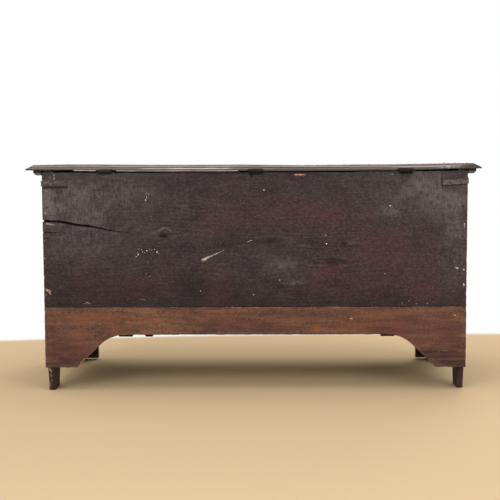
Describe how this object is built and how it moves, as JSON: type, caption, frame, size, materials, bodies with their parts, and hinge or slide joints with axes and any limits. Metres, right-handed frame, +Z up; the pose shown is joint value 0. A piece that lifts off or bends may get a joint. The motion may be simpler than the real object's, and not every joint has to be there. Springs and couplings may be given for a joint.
{
  "type": "mule chest",
  "caption": "Boarded oak chest with a lift-up lid on strap hinges over side-by-side lipped drawers with bail handles, on bracket feet, with a plain stained back.",
  "frame": {"origin": "on the floor, under the middle of the overall footprint", "axes": "+X to the right as seen from the front, +Y from the front to the back, +Z up"},
  "size_m": [1.346, 0.5488, 0.677],
  "materials": {
    "polished_oak": "dark waxed oak with vertical or lengthwise grain",
    "stained_back": "dull red-black stain, worn and dusty, lengthwise grain",
    "stained_plinth": "thin red-brown stain, worn, lengthwise grain",
    "bare_wood": "bare sawn wood, darkened by age",
    "wrought_iron": "hand-forged black iron with light rust",
    "aged_brass": "cast brass, rubbed bright on the high parts"
  },
  "bodies": {
    "carcass": {"back_board": "stained_back", "back_plinth_board": "stained_plinth", "bottom_rail": "polished_oak", "centre_muntin": "polished_oak", "chest_floor_boards": "bare_wood", "corner_strap_left": "wrought_iron", "corner_strap_right": "wrought_iron", "drawer_guide": "bare_wood", "drawer_runners": "bare_wood", "drawer_stops": "bare_wood", "end_board_left": "polished_oak", "end_board_right": "polished_oak", "floor_bearers": "bare_wood", "front_board": "polished_oak", "front_bracket_left": "polished_oak", "front_bracket_right": "polished_oak", "front_corner_blocks": "bare_wood", "front_plinth_rail": "polished_oak", "hinge_centre_back_leaf": "wrought_iron", "hinge_left_back_leaf": "wrought_iron", "hinge_pins": "wrought_iron", "hinge_right_back_leaf": "wrought_iron", "lock_case": "wrought_iron", "lock_escutcheon": "aged_brass", "plinth_glue_block": "bare_wood", "plinth_moulding": "polished_oak", "rear_corner_blocks": "bare_wood", "rear_foot_left": "stained_plinth", "rear_foot_right": "stained_plinth", "waist_moulding": "polished_oak"},
    "lid": {"hinge_centre_lid_strap": "wrought_iron", "hinge_left_lid_strap": "wrought_iron", "hinge_right_lid_strap": "wrought_iron", "lid_cleat_left": "polished_oak", "lid_cleat_right": "polished_oak", "lid_front_board": "polished_oak", "lid_rear_board": "polished_oak", "lock_staple": "wrought_iron"},
    "left_drawer": {"left_drawer_back": "bare_wood", "left_drawer_bottom": "bare_wood", "left_drawer_front": "polished_oak", "left_drawer_handle_nuts": "wrought_iron", "left_drawer_handle_posts": "aged_brass", "left_drawer_handle_roses": "aged_brass", "left_drawer_inner_side": "bare_wood", "left_drawer_outer_side": "bare_wood"},
    "left_drawer_inner_bail": {"left_drawer_inner_bail": "aged_brass"},
    "left_drawer_outer_bail": {"left_drawer_outer_bail": "aged_brass"},
    "right_drawer": {"right_drawer_back": "bare_wood", "right_drawer_bottom": "bare_wood", "right_drawer_front": "polished_oak", "right_drawer_handle_nuts": "wrought_iron", "right_drawer_handle_posts": "aged_brass", "right_drawer_handle_roses": "aged_brass", "right_drawer_inner_side": "bare_wood", "right_drawer_outer_side": "bare_wood"},
    "right_drawer_inner_bail": {"right_drawer_inner_bail": "aged_brass"},
    "right_drawer_outer_bail": {"right_drawer_outer_bail": "aged_brass"},
    "lock_bolt": {"lock_bolt": "wrought_iron"}
  },
  "joints": [
    {"name": "lid_hinge", "type": "hinge", "parent": "carcass", "child": "lid", "pos_m": [0, 0.2692, 0.6558], "axis": [-1, 0, 0], "range_deg": [0, 100]},
    {"name": "left_drawer_slide", "type": "slide", "parent": "carcass", "child": "left_drawer", "axis": [0, -1, 0], "range_m": [0, 0.36]},
    {"name": "right_drawer_slide", "type": "slide", "parent": "carcass", "child": "right_drawer", "axis": [0, -1, 0], "range_m": [0, 0.36]},
    {"name": "left_drawer_outer_bail_hinge", "type": "hinge", "parent": "left_drawer", "child": "left_drawer_outer_bail", "pos_m": [-0.4685, -0.2577, 0.26765], "axis": [-1, 0, 0], "range_deg": [-10, 95]},
    {"name": "left_drawer_inner_bail_hinge", "type": "hinge", "parent": "left_drawer", "child": "left_drawer_inner_bail", "pos_m": [-0.159, -0.2577, 0.26765], "axis": [-1, 0, 0], "range_deg": [-10, 95]},
    {"name": "right_drawer_inner_bail_hinge", "type": "hinge", "parent": "right_drawer", "child": "right_drawer_inner_bail", "pos_m": [0.159, -0.2577, 0.26765], "axis": [-1, 0, 0], "range_deg": [-10, 95]},
    {"name": "right_drawer_outer_bail_hinge", "type": "hinge", "parent": "right_drawer", "child": "right_drawer_outer_bail", "pos_m": [0.4685, -0.2577, 0.26765], "axis": [-1, 0, 0], "range_deg": [-10, 95]},
    {"name": "lock_bolt_slide", "type": "slide", "parent": "carcass", "child": "lock_bolt", "axis": [1, 0, 0], "range_m": [0, 0.01]}
  ]
}
